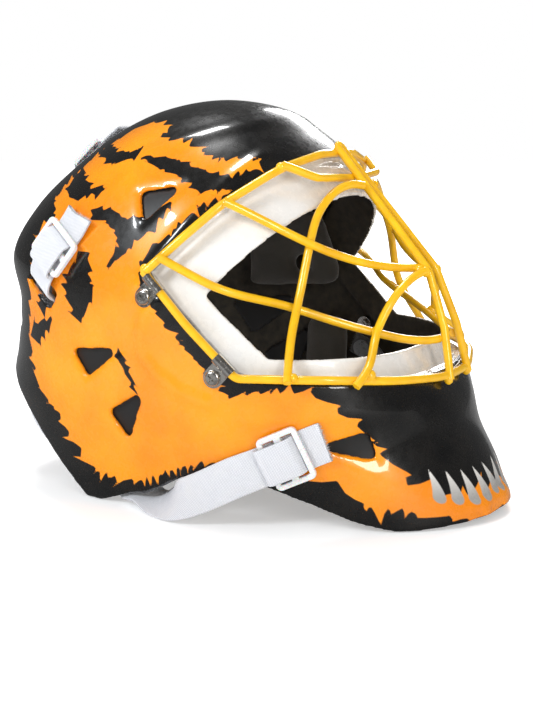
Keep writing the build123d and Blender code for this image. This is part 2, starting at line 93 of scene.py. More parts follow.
def rear_y(x, z):
    half, middle, _, rear, _, power = row(z)
    ratio = np.minimum(np.abs(x) / half, 1.0)
    return middle + rear * (1 - ratio ** power) ** (1 / power)


def side_point(y, z, lift=0.0):
    here = np.array([-side_x(y, z), y, z])
    along = np.array([-side_x(y + 0.5, z), y + 0.5, z]) - here
    up = np.array([-side_x(y, z + 0.5), y, z + 0.5]) - here
    normal = np.cross(up, along)
    normal /= np.linalg.norm(normal)
    if normal[0] > 0:
        normal = -normal
    return here + normal * lift, normal


def rear_point(x, z, lift=0.0):
    here = np.array([x, rear_y(x, z), z])
    along = np.array([x + 0.5, rear_y(x + 0.5, z), z]) - here
    up = np.array([x, rear_y(x, z + 0.5), z + 0.5]) - here
    normal = np.cross(up, along)
    normal /= np.linalg.norm(normal)
    if normal[1] < 0:
        normal = -normal
    return here + normal * lift, normal


def level(p):
    """Below 0 inside the outer surface and above 0 outside it."""
    half, middle, front, rear, n_front, n_rear = row(p[:, 2])
    ahead = p[:, 1] < middle
    reach = np.maximum(np.where(ahead, front, rear), 1.0)
    power = np.where(ahead, n_front, n_rear)
    a = np.abs(p[:, 0]) / np.maximum(half, 1.0)
    b = np.abs(p[:, 1] - middle) / reach
    return (a ** power + b ** power + 1e-12) ** (1 / power) - 1


def slope(p, step=0.05):
    grad = np.empty_like(p)
    for i in range(3):
        d = np.zeros(3)
        d[i] = step
        grad[:, i] = (level(p + d) - level(p - d)) / (2 * step)
    return grad


def height_off(p):
    """Signed distance to the outer surface, and its outward direction."""
    grad = slope(p)
    size = np.linalg.norm(grad, axis=1)
    return level(p) / size, grad / size[:, None]


# ---- maps and distances ------------------------------------------------------------------------
def side_map(p):
    """A flat map of half the shell about the side's middle, in millimetres."""
    d = p - np.array([0.0, 10.0, 110.0])
    d /= np.linalg.norm(d, axis=1)[:, None]
    turn = np.arccos(np.clip(np.abs(d[:, 0]), 0, 1))
    flat = np.hypot(d[:, 1], d[:, 2]) + 1e-9
    return np.stack([115 * turn * d[:, 1] / flat, 115 * turn * d[:, 2] / flat], 1)


def line_distance(q, points, closed=False):
    points = np.asarray(points, float)
    ends = np.roll(points, -1, 0) if closed else points[1:]
    starts = points if closed else points[:-1]
    best = np.full(len(q), 1e9)
    for a, b in zip(starts, ends):
        ab = b - a
        t = np.clip(((q - a) @ ab) / (ab @ ab), 0, 1)
        best = np.minimum(best, np.hypot(*(q - a - t[:, None] * ab).T))
    return best


def patch_distance(q, points):
    """Distance to a closed outline, above 0 inside it."""
    points = np.asarray(points, float)
    margin = 14.0
    low, high = points.min(0) - margin, points.max(0) + margin
    near = np.all((q > low) & (q < high), 1)
    out = np.full(len(q), -margin)
    s = q[near]
    inside = np.zeros(len(s), bool)
    for a, b in zip(points, np.roll(points, -1, 0)):
        cross = (a[1] > s[:, 1]) != (b[1] > s[:, 1])
        x_at = a[0] + (s[:, 1] - a[1]) * (b[0] - a[0]) / (b[1] - a[1] + 1e-12)
        inside ^= cross & (s[:, 0] < x_at)
    far = line_distance(s, points, True)
    out[near] = np.where(inside, far, -far)
    return out


def torn(points, pitch=9.0, reach=6.0, seed=1):
    """The outline with irregular leaning tears that point out of it."""
    pick = np.random.default_rng(seed)
    points = np.asarray(points, float)
    x, y = points.T
    if np.sum(x * np.roll(y, -1) - y * np.roll(x, -1)) < 0:
        points = points[::-1]
    edge = []
    for a, b in zip(points, np.roll(points, -1, 0)):
        length = np.hypot(*(b - a))
        along = (b - a) / length
        out = np.array([along[1], -along[0]])
        at = 0.0
        while at < length - 0.3 * pitch:
            span = min(pitch * pick.uniform(0.45, 1.5), length - at)
            rise = reach * pick.uniform(0.25, 1.0) ** 1.6 * min(1.0, span / (0.5 * pitch))
            tip = at + span * pick.uniform(0.75, 1.25)
            dip = reach * pick.uniform(-0.05, 0.22)
            edge.append(a + along * at - out * dip)
            edge.append(a + along * (at + 0.45 * (tip - at)) + out * rise * pick.uniform(0.12, 0.38))
            edge.append(a + along * tip + out * rise)
            edge.append(a + along * (at + 0.9 * span) + out * rise * pick.uniform(0.25, 0.45))
            at += span
    return np.array(edge)


# ---- mesh helpers ------------------------------------------------------------------------------
def shade_smooth(mesh):
    mesh.polygons.foreach_set("use_smooth", np.ones(len(mesh.polygons), bool))
    mesh.update()


def add_object(name, mesh, material=None):
    obj = bpy.data.objects.new(name, mesh)
    bpy.context.scene.collection.objects.link(obj)
    if material:
        mesh.materials.clear()
        mesh.materials.append(material)
    return obj


def welded_copy(node):
    """The CAD node's mesh in the row frame, with its split corners joined."""
    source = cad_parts[node]
    mesh = source.data.copy()
    mesh.transform(source.matrix_world)
    bm = bmesh.new()
    bm.from_mesh(mesh)
    bmesh.ops.remove_doubles(bm, verts=bm.verts, dist=1e-5)
    bm.to_mesh(mesh)
    bm.free()
    if "custom_normal" in mesh.attributes:
        mesh.attributes.remove(mesh.attributes["custom_normal"])
    return mesh


def remeshed(node, name, voxel):
    obj = add_object(name, welded_copy(node))
    tool = obj.modifiers.new("cells", "REMESH")
    tool.mode = "VOXEL"
    tool.voxel_size = voxel * MM
    done = bpy.data.meshes.new_from_object(obj.evaluated_get(bpy.context.evaluated_depsgraph_get()))
    obj.modifiers.clear()
    obj.data = done
    shade_smooth(done)
    return obj


def get_points(mesh):
    flat = np.empty(len(mesh.vertices) * 3)
    mesh.vertices.foreach_get("co", flat)
    return flat.reshape(-1, 3)


def set_points(mesh, points):
    mesh.vertices.foreach_set("co", points.ravel())
    mesh.update()


def get_normals(mesh):
    flat = np.empty(len(mesh.vertices) * 3, np.float32)
    mesh.vertex_normals.foreach_get("vector", flat)
    return flat.reshape(-1, 3).astype(float)


def get_edges(mesh):
    flat = np.empty(len(mesh.edges) * 2, np.int32)
    mesh.edges.foreach_get("vertices", flat)
    return flat.reshape(-1, 2)


def relax(values, edges, rounds, share=0.5, keep=None):
    """Averages values with their neighbours; keep marks those that stay."""
    count = len(values)
    degree = np.maximum(np.bincount(edges.ravel(), minlength=count), 1)
    move = np.ones(count) * share
    if keep is not None:
        move[keep] = 0
    for _ in range(rounds):
        mean = np.empty_like(values)
        for i in range(values.shape[1]):
            mean[:, i] = (np.bincount(edges[:, 0], values[edges[:, 1], i], count)
                          + np.bincount(edges[:, 1], values[edges[:, 0], i], count)) / degree
        values = values + (mean - values) * move[:, None]
    return values


def set_attribute(mesh, name, values):
    layer = mesh.attributes.new(name, "FLOAT", "POINT")
    layer.data.foreach_set("value", np.asarray(values, np.float32))


# ---- shader helpers ----------------------------------------------------------------------------
class Shader:
    """A node material with short calls for the nodes used here."""

    def __init__(self, name, **sockets):
        self.material = bpy.data.materials.new(name)
        self.material.use_nodes = True
        self.nodes = self.material.node_tree.nodes
        self.links = self.material.node_tree.links
        self.bsdf = self.nodes["Principled BSDF"]
        for key, value in sockets.items():
            self.bsdf.inputs[key.replace("_", " ")].default_value = value

    def node(self, kind, **values):
        made = self.nodes.new(kind)
        for key, value in values.items():
            setattr(made, key, value)
        return made

    def put(self, socket, value):
        if isinstance(value, bpy.types.NodeSocket):
            self.links.new(value, socket)
        else:
            socket.default_value = value

    def attribute(self, name):
        return self.node("ShaderNodeAttribute", attribute_name=name).outputs["Fac"]

    def place(self):
        return self.node("ShaderNodeTexCoord").outputs["Object"]

    def noise(self, scale, detail=4.0, rough=0.55, vector=None):
        made = self.node("ShaderNodeTexNoise")
        self.put(made.inputs["Vector"], vector if vector else self.place())
        made.inputs["Scale"].default_value = scale
        made.inputs["Detail"].default_value = detail
        made.inputs["Roughness"].default_value = rough
        return made.outputs["Fac"]

    def math(self, kind, a, b=0.0, clamp=False):
        made = self.node("ShaderNodeMath", operation=kind, use_clamp=clamp)
        self.put(made.inputs[0], a)
        self.put(made.inputs[1], b)
        return made.outputs[0]

    def span(self, value, low, high, out_low=0.0, out_high=1.0, smooth=False):
        made = self.node("ShaderNodeMapRange", interpolation_type="SMOOTHSTEP" if smooth else "LINEAR")
        self.put(made.inputs["Value"], value)
        limits = {"From Min": low, "From Max": high, "To Min": out_low, "To Max": out_high}
        for key, number in limits.items():
            made.inputs[key].default_value = number
        return made.outputs["Result"]

    def mix(self, share, a, b):
        made = self.node("ShaderNodeMix", data_type="RGBA")
        self.put(made.inputs["Factor"], share)
        self.put(made.inputs[6], a)
        self.put(made.inputs[7], b)
        return made.outputs[2]

    def bump(self, height, distance, strength=1.0):
        made = self.node("ShaderNodeBump")
        made.inputs["Strength"].default_value = strength
        made.inputs["Distance"].default_value = distance
        self.put(made.inputs["Height"], height)
        self.links.new(made.outputs["Normal"], self.bsdf.inputs["Normal"])
        return made

    def color(self, value):
        self.put(self.bsdf.inputs["Base Color"], value)

    def rough(self, value):
        self.put(self.bsdf.inputs["Roughness"], value)


def rgb(r, g, b):
    return (r, g, b, 1.0)


def shell_paint():
    s = Shader("shell_paint", Coat_Weight=1.0, Coat_Roughness=0.03, Coat_IOR=1.5)
    drift = s.noise(14, 3)
    speck = s.noise(900, 2)
    orange = s.mix(s.span(drift, 0.35, 0.65, smooth=True), rgb(0.84, 0.225, 0.0), rgb(0.95, 0.31, 0.001))
    orange = s.mix(s.span(speck, 0.3, 0.7, 0.0, 0.18), orange, rgb(0.98, 0.37, 0.01))
    black = s.mix(s.span(s.noise(60, 4), 0.35, 0.7), rgb(0.0025, 0.0025, 0.0025), rgb(0.008, 0.007, 0.006))
    paint = s.mix(s.span(s.attribute("orange"), -0.2, 0.2), black, orange)
    pale = s.mix(s.attribute("tip"), rgb(0.20, 0.19, 0.18), rgb(0.80, 0.78, 0.74))
    pale = s.mix(s.span(s.noise(70, 4), 0.35, 0.7, 0.0, 0.25), pale, rgb(0.32, 0.31, 0.30))
    paint = s.mix(s.span(s.attribute("spike"), -0.2, 0.2), paint, pale)
    white = s.mix(s.span(s.noise(30, 4), 0.3, 0.7), rgb(0.72, 0.71, 0.68), rgb(0.82, 0.81, 0.79))
    paint = s.mix(s.span(s.attribute("white"), -0.3, 0.3), paint, white)
    s.color(paint)
    s.rough(s.span(s.noise(220, 4), 0.3, 0.7, 0.22, 0.32))
    s.bump(s.noise(180, 2), 0.0001, 0.10)
    return s.material


def plate_paint():
    """The backplate's gloss orange, with the shell's clear coat."""
    s = Shader("plate_paint", Coat_Weight=1.0, Coat_Roughness=0.05, Coat_IOR=1.5)
    drift = s.span(s.noise(14, 3), 0.35, 0.65, smooth=True)
    s.color(s.mix(drift, rgb(0.84, 0.225, 0.0), rgb(0.95, 0.31, 0.001)))
    s.rough(s.span(s.noise(220, 4), 0.3, 0.7, 0.24, 0.34))
    s.bump(s.noise(300, 3), 0.0001, 0.2)
    return s.material


def shell_inside():
    s = Shader("shell_inside")
    tone = s.noise(160, 6, 0.7)
    s.color(s.mix(s.span(tone, 0.35, 0.65), rgb(0.020, 0.017, 0.012), rgb(0.055, 0.045, 0.030)))
    s.rough(s.span(tone, 0.3, 0.7, 0.55, 0.8))
    s.bump(s.noise(700, 4), 0.0004, 0.5)
    return s.material


def cage_paint():
    s = Shader("cage_yellow", Coat_Weight=0.8, Coat_Roughness=0.08)
    tone = s.noise(90, 4)
    base = s.mix(s.span(tone, 0.3, 0.7), rgb(0.78, 0.40, 0.002), rgb(0.90, 0.52, 0.004))
    wear = s.span(s.noise(420, 5, 0.7), 0.69, 0.74)
    s.color(s.mix(wear, base, rgb(0.42, 0.20, 0.01)))
    s.rough(s.span(s.noise(300, 3), 0.3, 0.7, 0.28, 0.4))
    s.bump(s.noise(900, 3), 0.0001, 0.35)
    return s.material


def plated(name, color, rough_low, rough_high):
    s = Shader(name, Metallic=1.0)
    grime = s.span(s.noise(260, 6, 0.65), 0.55, 0.75)
    dark = rgb(color[0] * 0.45, color[1] * 0.42, color[2] * 0.38)
    s.color(s.mix(grime, rgb(*color), dark))
    s.rough(s.span(s.noise(500, 4), 0.3, 0.7, rough_low, rough_high))
    s.bump(s.noise(1400, 2), 0.00005, 0.3)
    return s.material


def webbing(name, light, shade):
    """Knitted elastic: ribs along the strap, crossed by short stitches, with painted shade in the grooves
    between ribs. UVs are in millimetres.
    """
    s = Shader(name, Sheen_Weight=0.35, Sheen_Roughness=0.5)
    place = s.node("ShaderNodeUVMap", uv_map="run").outputs["UV"]
    split = s.node("ShaderNodeSeparateXYZ")
    s.links.new(place, split.inputs[0])
    along, across = split.outputs[0], split.outputs[1]
    ribs = s.math("SINE", s.math("MULTIPLY", across, 2 * math.pi / 1.25))
    offset = s.math("MULTIPLY", s.math("SIGN", ribs), 0.5 * math.pi)
    stitch = s.math("SINE", s.math("ADD", s.math("MULTIPLY", along, 2 * math.pi / 1.15), offset))
    rib_height = s.span(s.math("ABSOLUTE", ribs), 0.0, 0.7, smooth=True)
    knit = s.math("MULTIPLY", rib_height, s.span(stitch, -1, 0.6))
    fuzz = s.noise(1800, 3)
    height = s.math("ADD", knit, s.math("MULTIPLY", fuzz, 0.35))
    stain = s.span(s.noise(55, 5), 0.45, 0.75, 0.0, 0.35)
    # Painted shade: the knit's grooves take the shade colour and its rib tops the light one.
    base = s.mix(s.span(knit, 0.0, 0.9), rgb(*shade), rgb(*light))
    s.color(s.mix(stain, base, rgb(light[0] * 0.86, light[1] * 0.84, light[2] * 0.80)))
    s.rough(s.span(fuzz, 0.3, 0.7, 0.75, 0.92))
    s.bump(height, 0.00045, 0.75)
    return s.material


def cloth(name, low, high):
    s = Shader(name, Sheen_Weight=0.3, Sheen_Roughness=0.6)
    base = s.mix(s.span(s.noise(40, 5), 0.3, 0.7), rgb(*low), rgb(*high))
    pile = s.noise(2200, 4, 0.7)
    s.color(s.mix(s.span(pile, 0.3, 0.7, 0.0, 0.5), base, rgb(low[0] * 0.6, low[1] * 0.6, low[2] * 0.6)))
    s.rough(s.span(pile, 0.3, 0.7, 0.8, 0.95))
    s.bump(pile, 0.0004, 0.7)
    return s.material


def moulded(name, color, rough=(0.25, 0.4), **sockets):
    s = Shader(name, **sockets)
    tone = s.noise(120, 5)
    s.color(s.mix(s.span(tone, 0.3, 0.7, 0.0, 0.4), rgb(*color), rgb(*(c * 0.86 for c in color))))
    s.rough(s.span(s.noise(600, 4), 0.3, 0.7, *rough))
    s.bump(s.noise(1500, 2), 0.00008, 0.3)
    return s.material


PAINT = shell_paint()
INSIDE = shell_inside()
CAGE = cage_paint()
NICKEL = plated("clip_nickel", (0.80, 0.77, 0.72), 0.12, 0.3)
STEEL = plated("rivet_steel", (0.62, 0.62, 0.62), 0.25, 0.4)
# Each webbing's second colour is the painted shade for its knit grooves.
WEBBING = webbing("white_elastic", (0.86, 0.87, 0.90), (0.52, 0.54, 0.60))
HARNESS = webbing("harness_webbing", (0.10, 0.10, 0.10), (0.03, 0.03, 0.03))
PAD = cloth("pad_cloth", (0.020, 0.017, 0.012), (0.050, 0.040, 0.026))
BUCKLE = moulded("buckle_plastic", (0.84, 0.84, 0.84), (0.22, 0.36), Subsurface_Weight=0.35,
                 Subsurface_Scale=0.004, Transmission_Weight=0.12)
CUP = moulded("cup_plastic", (0.018, 0.018, 0.018), (0.3, 0.45))
PLATE = plate_paint()


# ---- shell -------------------------------------------------------------------------------------
FRAME_LINE = [(-210, 213), (-46, 213), (-36, 204), (-17, 185), (0, 166), (19, 147), (-37, 93),
              (-44, 90), (-110, 87), (-210, 83)]
VENTS = [
    [(36, 192), (7, 197), (29, 175)],
    [(78, 97), (39, 101), (66, 81)],
    [(51, 61), (24, 77), (38, 44)],
    [(-77, 50), (-104, 59), (-109, 42)],
]
# Raised and sunk lines: points on the side in (Y, Z), height in mm and half width in mm.
CREASES = [
    ([(25, 140), (9, 162), (-6, 183), (-18, 201), (-26, 212)], 1.3, 4.0),
    ([(39, 215), (12, 225), (-13, 233)], 1.2, 5.0),
    ([(12, 131), (20, 124), (24, 113), (23, 99), (14, 89), (-2, 79), (-20, 74)], 1.7, 4.5),
    ([(30, 118), (33, 104), (26, 88)], -0.9, 7.0),
    ([(-45, 66), (-75, 68), (-100, 70), (-118, 70)], 1.2, 6.0),
]
# Two-colour pattern on the side map, in mm: orange patches, then black ones cut from them.
ORANGE_PATCHES = [
    [(92, 48), (90, 32), (96, 12), (99, -6), (96, -18), (92, -27), (87, -36), (80, -43), (73, -50),
     (67, -60), (60, -69), (51, -79), (38, -83), (20, -83), (6, -79), (-6, -74), (-22, -70), (-40, -68),
     (-58, -68), (-75, -71), (-90, -72), (-97, -80), (-112, -81), (-128, -85), (-142, -89), (-158, -95),
     (-158, -87), (-150, -83), (-140, -80), (-128, -77), (-118, -72), (-113, -60), (-106, -45),
     (-98, -37), (-88, -29), (-78, -26), (-66, -27), (-53, -28), (-43, -32), (-33, -23), (-25, -13),
     (-13, -2), (-3, 8), (6, 19), (14, 30), (16, 44), (8, 54), (-2, 60), (-7, 67), (-14, 73),
     (-16, 78), (-25, 84), (-34, 90), (-24, 90), (-14, 88), (-10, 92), (0, 92), (6, 97), (16, 103),
     (6, 104), (-8, 101), (-20, 99), (-28, 98), (-34, 102), (-43, 108), (-44, 113), (-30, 113),
     (-18, 107), (-8, 111), (4, 115), (20, 116), (30, 119), (28, 128), (42, 132), (58, 127), (66, 116),
     (76, 104), (84, 92), (90, 74)],
]
BLACK_PATCHES = [
    [(57, 68), (42, 71), (30, 66), (22, 69), (14, 75), (1, 79), (7, 69), (13, 60), (21, 55), (28, 46),
     (39, 38), (31, 50), (36, 59), (44, 63)],
    [(58, 45), (51, 41), (49, 28), (46, 26), (49, 16), (57, 4), (62, 11), (66, 20), (65, 31), (60, 38)],
    [(83, 94), (71, 85), (63, 80), (50, 82), (60, 77), (70, 72), (80, 74), (85, 80)],
    [(34, 104), (14, 105), (-3, 102), (-17, 99), (-30, 98), (-34, 91), (-22, 88), (-12, 87), (-8, 91),
     (3, 95), (18, 98)],
    [(70, 112), (58, 106), (46, 106), (36, 110), (44, 101), (56, 97), (64, 100), (76, 104)],
    [(33, -12), (27, -22), (18, -38), (24, -22), (30, -10)],
    [(86, 36), (83, 26), (77, 15), (85, 4), (88, 18)],
    [(77, 4), (90, -12), (98, -8), (90, 0)],
    [(100, 62), (90, 56), (83, 60), (90, 68), (98, 76)],
]
# A short even row of equal pale triangles on the side map: base middle, tip and half width.
SPIKES = [((-128 - 7 * i, -78 - 2 * i), (-130 - 7 * i, -68 - 2 * i), 2.6) for i in range(5)]


def spike_outline(base, tip, half):
    """A pointed outline with a rounded base."""
    base, tip = np.array(base, float), np.array(tip, float)
    along = tip - base
    side = np.array([along[1], -along[0]]) / np.hypot(*along)
    ring = []
    for t in np.linspace(0, 1, 12):
        ring.append(base + along * t + side * half * (1 - t ** 1.5) * (1 - 0.30 * math.sin(math.pi * t)))
    for t in np.linspace(0.95, 0, 12):
        ring.append(base + along * t - side * half * (1 - t ** 1.6) * (1 + 0.10 * math.sin(math.pi * t)))
    for turn in np.linspace(0.15, 0.85, 6):
        across = side * half * math.cos(math.pi * turn)
        back = along / np.hypot(*along) * half * 0.8 * math.sin(math.pi * turn)
        ring.append(base - across - back)
    return np.array(ring)


def make_shell():
    obj = remeshed("shell", "shell_skin", 1.3)
    mesh = obj.data
    edges = get_edges(mesh)
    p = get_points(mesh) / MM
    p[:, 1] -= SHIFT
    p = relax(p, edges, 4)
    set_points(mesh, p * MM)
    normals = get_normals(mesh)
    top = p[:, 2] > 238.5
    off, out = height_off(p)
    facing = np.einsum("ij,ij->i", normals, out)
    outer = (np.abs(off) < 1.9) & (facing > 0.965) & ~top
    moved = p.copy()
    for _ in range(3):
        off_now, out_now = height_off(moved[outer])
        moved[outer] -= off_now[:, None] * out_now
    cap = top & (normals[:, 2] > 0.6) & (p[:, 2] > 241.6)
    spread = np.hypot(p[:, 0], (p[:, 1] - 28) * 36 / 38.5)
    tail = ROWS[-70:]
    moved[cap, 2] = np.interp(spread[cap], tail[::-1, 1], tail[::-1, 0])
    fixed = outer | cap
    change = relax(moved - p, edges, 50, 1.0, fixed)
    p = p + change
    off, out = height_off(p)

    # Creases and the dip round each vent, fading out below the outer surface.
    side = p[:, 1:]
    lift = np.zeros(len(p))
    for line, rise, width in CREASES:
        lift += rise * np.exp(-(line_distance(side, line) / width) ** 2)
    for vent in VENTS:
        lift -= 0.9 * np.exp(-(line_distance(side, vent, True) / 3.4) ** 2)
    lift *= np.clip(np.abs(p[:, 0]) / 30 - 0.4, 0, 1)
    lift *= np.clip(1 + (off + 2.5) / 3.5, 0, 1)
    near_frame = patch_distance(side, FRAME_LINE)
    lift *= np.clip(-near_frame / 4.0, 0, 1)
    p = p + out * lift[:, None]

    white = np.minimum(near_frame - 0.2, -off - 1.3)
    flat = side_map(p)
    orange = np.full(len(p), -14.0)
    for i, patch in enumerate(ORANGE_PATCHES):
        orange = np.maximum(orange, patch_distance(flat, torn(patch, 9.5, 7.0, 20 + i)))
    for i, patch in enumerate(BLACK_PATCHES):
        orange = np.minimum(orange, -patch_distance(flat, torn(patch, 8.0, 5.0, 40 + i)))
    spike = np.full(len(p), -14.0)
    tip = np.zeros(len(p))
    for base, end, half in SPIKES:
        inside = patch_distance(flat, spike_outline(base, end, half))
        along = np.array(end, float) - base
        t = np.clip(((flat - base) @ along) / (along @ along), 0, 1)
        tip = np.where(inside > spike, 0.25 + 0.75 * t, tip)
        spike = np.maximum(spike, inside)
    set_attribute(mesh, "orange", orange)
    set_attribute(mesh, "spike", spike)
    set_attribute(mesh, "tip", tip)
    set_attribute(mesh, "white", white)
    p[:, 1] += SHIFT
    set_points(mesh, p * MM)
    mesh.materials.clear()
    mesh.materials.append(PAINT)
    mesh.materials.append(INSIDE)
    normals = get_normals(mesh)
    facing = np.einsum("ij,ij->i", normals, out)
    inner = facing < -0.45
    corners = np.empty(len(mesh.loops), np.int32)
    mesh.loops.foreach_get("vertex_index", corners)
    starts = np.empty(len(mesh.polygons), np.int32)
    mesh.polygons.foreach_get("loop_start", starts)
    share = np.add.reduceat(inner[corners].astype(float), starts)
    totals = np.diff(np.append(starts, len(corners)))
    mesh.polygons.foreach_set("material_index", (share / totals > 0.5).astype(np.int32))
    shade_smooth(mesh)
    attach(obj, "mask")
    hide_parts("shell")
    return obj


# ---- straps ------------------------------------------------------------------------------------
def smooth_path(points, per_span=10):
    """Catmull-Rom curve through the points, spaced by chord length."""
    points = np.asarray(points, float)
    first = 2 * points[0] - points[1]
    last = 2 * points[-1] - points[-2]
    whole = np.vstack([first, points, last])
    out = []
    for i in range(1, len(whole) - 2):
        a, b, c, d = whole[i - 1:i + 3]
        gaps = [max(np.linalg.norm(v[:3]) ** 0.5, 1e-3) for v in (b - a, c - b, d - c)]
        m1 = (c - b) + gaps[1] * ((b - a) / gaps[0] - (c - a) / (gaps[0] + gaps[1]))
        m2 = (c - b) + gaps[1] * ((d - c) / gaps[2] - (d - b) / (gaps[1] + gaps[2]))
        for t in np.linspace(0, 1, per_span, endpoint=False):
            out.append((2 * t ** 3 - 3 * t ** 2 + 1) * b + (t ** 3 - 2 * t ** 2 + t) * m1
                       + (3 * t ** 2 - 2 * t ** 3) * c + (t ** 3 - t ** 2) * m2)
    out.append(whole[-2])
    return np.array(out)


def ribbon(name, stations, width=24.0, thick=1.8, material=None, frayed=(False, True), lean=0.0,
           flip=False):
    """A flat strap through (centre, across) stations in unshifted mm, with rounded edges."""
    data = np.array([np.concatenate([c, np.asarray(a, float) / np.linalg.norm(a)]) for c, a in stations])
    path = smooth_path(data)
    centres, across = path[:, :3], path[:, 3:]
    steps = np.linalg.norm(np.diff(centres, axis=0), axis=1)
    run = np.concatenate([[0], np.cumsum(steps)])
    along = np.gradient(centres, axis=0)
    along /= np.linalg.norm(along, axis=1)[:, None]
    across = across - along * np.einsum("ij,ij->i", across, along)[:, None]
    across /= np.linalg.norm(across, axis=1)[:, None]
    face = np.cross(along, across)
    half, t = 0.5 * width, 0.5 * thick
    profile = [(a, 1.0) for a in np.linspace(-half + t, half - t, 11)]
    profile += [(half - 0.3 * t, 0.72), (half, 0.0), (half - 0.3 * t, -0.72)]
    profile += [(a, -1.0) for a in np.linspace(half - t, -half + t, 11)]
    profile += [(-half + 0.3 * t, -0.72), (-half, 0.0), (-half + 0.3 * t, 0.72)]
    profile = np.array(profile)
    count = len(profile)
    pick = np.random.default_rng(len(name) * 7 + 3)
    ripple = np.interp(run, np.linspace(0, run[-1], 12), pick.uniform(-0.12, 0.12, 12))
    verts, uvs = [], []
    for i in range(len(centres)):
        skew = np.zeros(count)
        if i in (0, len(centres) - 1):
            skew = profile[:, 0] * math.tan(lean) * (1 if i else -1)
        for j, (a, b) in enumerate(profile):
            verts.append(centres[i] + across[i] * a + face[i] * (b * t + ripple[i]) + along[i] * skew[j])
            uvs.append((run[i], a if b >= 0 else a + 100))
    faces = []
    for i in range(len(centres) - 1):
        for j in range(count):
            k = (j + 1) % count
            faces.append((i * count + j, i * count + k, (i + 1) * count + k, (i + 1) * count + j))
    faces.append(tuple(reversed(range(count))))
    faces.append(tuple((len(centres) - 1) * count + j for j in range(count)))
    for end, wanted in ((0, frayed[0]), (len(centres) - 1, frayed[1])):
        if not wanted:
            continue
        sign = 1 if end else -1
        for _ in range(150):
            a = pick.uniform(-half + 0.5, half - 0.5)
            root = centres[end] + across[end] * a + face[end] * pick.uniform(-0.7, 0.7) * t
            root = root + along[end] * a * math.tan(lean)
            tip = root + along[end] * sign * pick.uniform(0.5, 2.2) + across[end] * pick.normal(0, 0.5)
            tip = tip + face[end] * pick.normal(0, 0.45)
            base = len(verts)
            for corner in (across[end] * 0.14, face[end] * 0.14, -across[end] * 0.14):
                verts.append(root - along[end] * sign * 0.4 + corner)
                uvs.append((run[end], a))
            verts.append(tip)
            uvs.append((run[end], a))
            for k in range(3):
                faces.append((base + k, base + (k + 1) % 3, base + 3))
    verts = np.array(verts)
    if flip:
        verts[:, 0] *= -1
        faces = [tuple(reversed(f)) for f in faces]
    verts[:, 1] += SHIFT
    mesh = bpy.data.meshes.new(name)
    mesh.from_pydata((verts * MM).tolist(), [], faces)
    layer = mesh.uv_layers.new(name="run")
    corners = np.empty(len(mesh.loops), np.int32)
    mesh.loops.foreach_get("vertex_index", corners)
    layer.data.foreach_set("uv", np.array(uvs, np.float32)[corners].ravel())
    mesh.update()
    shade_smooth(mesh)
    return add_object(name, mesh, material or WEBBING)


def plane_at(origin, along, normal):
    along = along - normal * (along @ normal)
    along = along / np.linalg.norm(along)
    return np.array(origin, float), along, np.cross(normal, along), normal


def buckle_plane(y, z, toward):
    origin, normal = side_point(y, z, 1.4)
    ahead = side_point(*toward)[0]
    return plane_at(origin, ahead - origin, normal)


def on_plane(plane, x, lift=0.0):
    return plane[0] + plane[1] * x + plane[3] * lift


UPPER_BUCKLE = buckle_plane(88, 157, (74, 175))
LOWER_BUCKLE = buckle_plane(-64, 45, (-82, 54))
TOP_ORIGIN, TOP_NORMAL = rear_point(0, 205, 6.4)
TOP_BUCKLE = plane_at(TOP_ORIGIN, np.array([0, -10.0, 10.0]), TOP_NORMAL)
UPPER_SLOT_ORIGIN, UPPER_SLOT_NORMAL = side_point(103, 133)
UPPER_SLOT = plane_at(UPPER_SLOT_ORIGIN, UPPER_BUCKLE[1], UPPER_SLOT_NORMAL)
TOP_SLOT_ORIGIN, TOP_SLOT_NORMAL = rear_point(0, 179)
TOP_SLOT = plane_at(TOP_SLOT_ORIGIN, np.array([0, -10.0, 14.0]), TOP_SLOT_NORMAL)
X_ACROSS = np.array([1.0, 0, 0])
TAB_INSET = 2.0 + 3.0 + 0.6 + 0.9


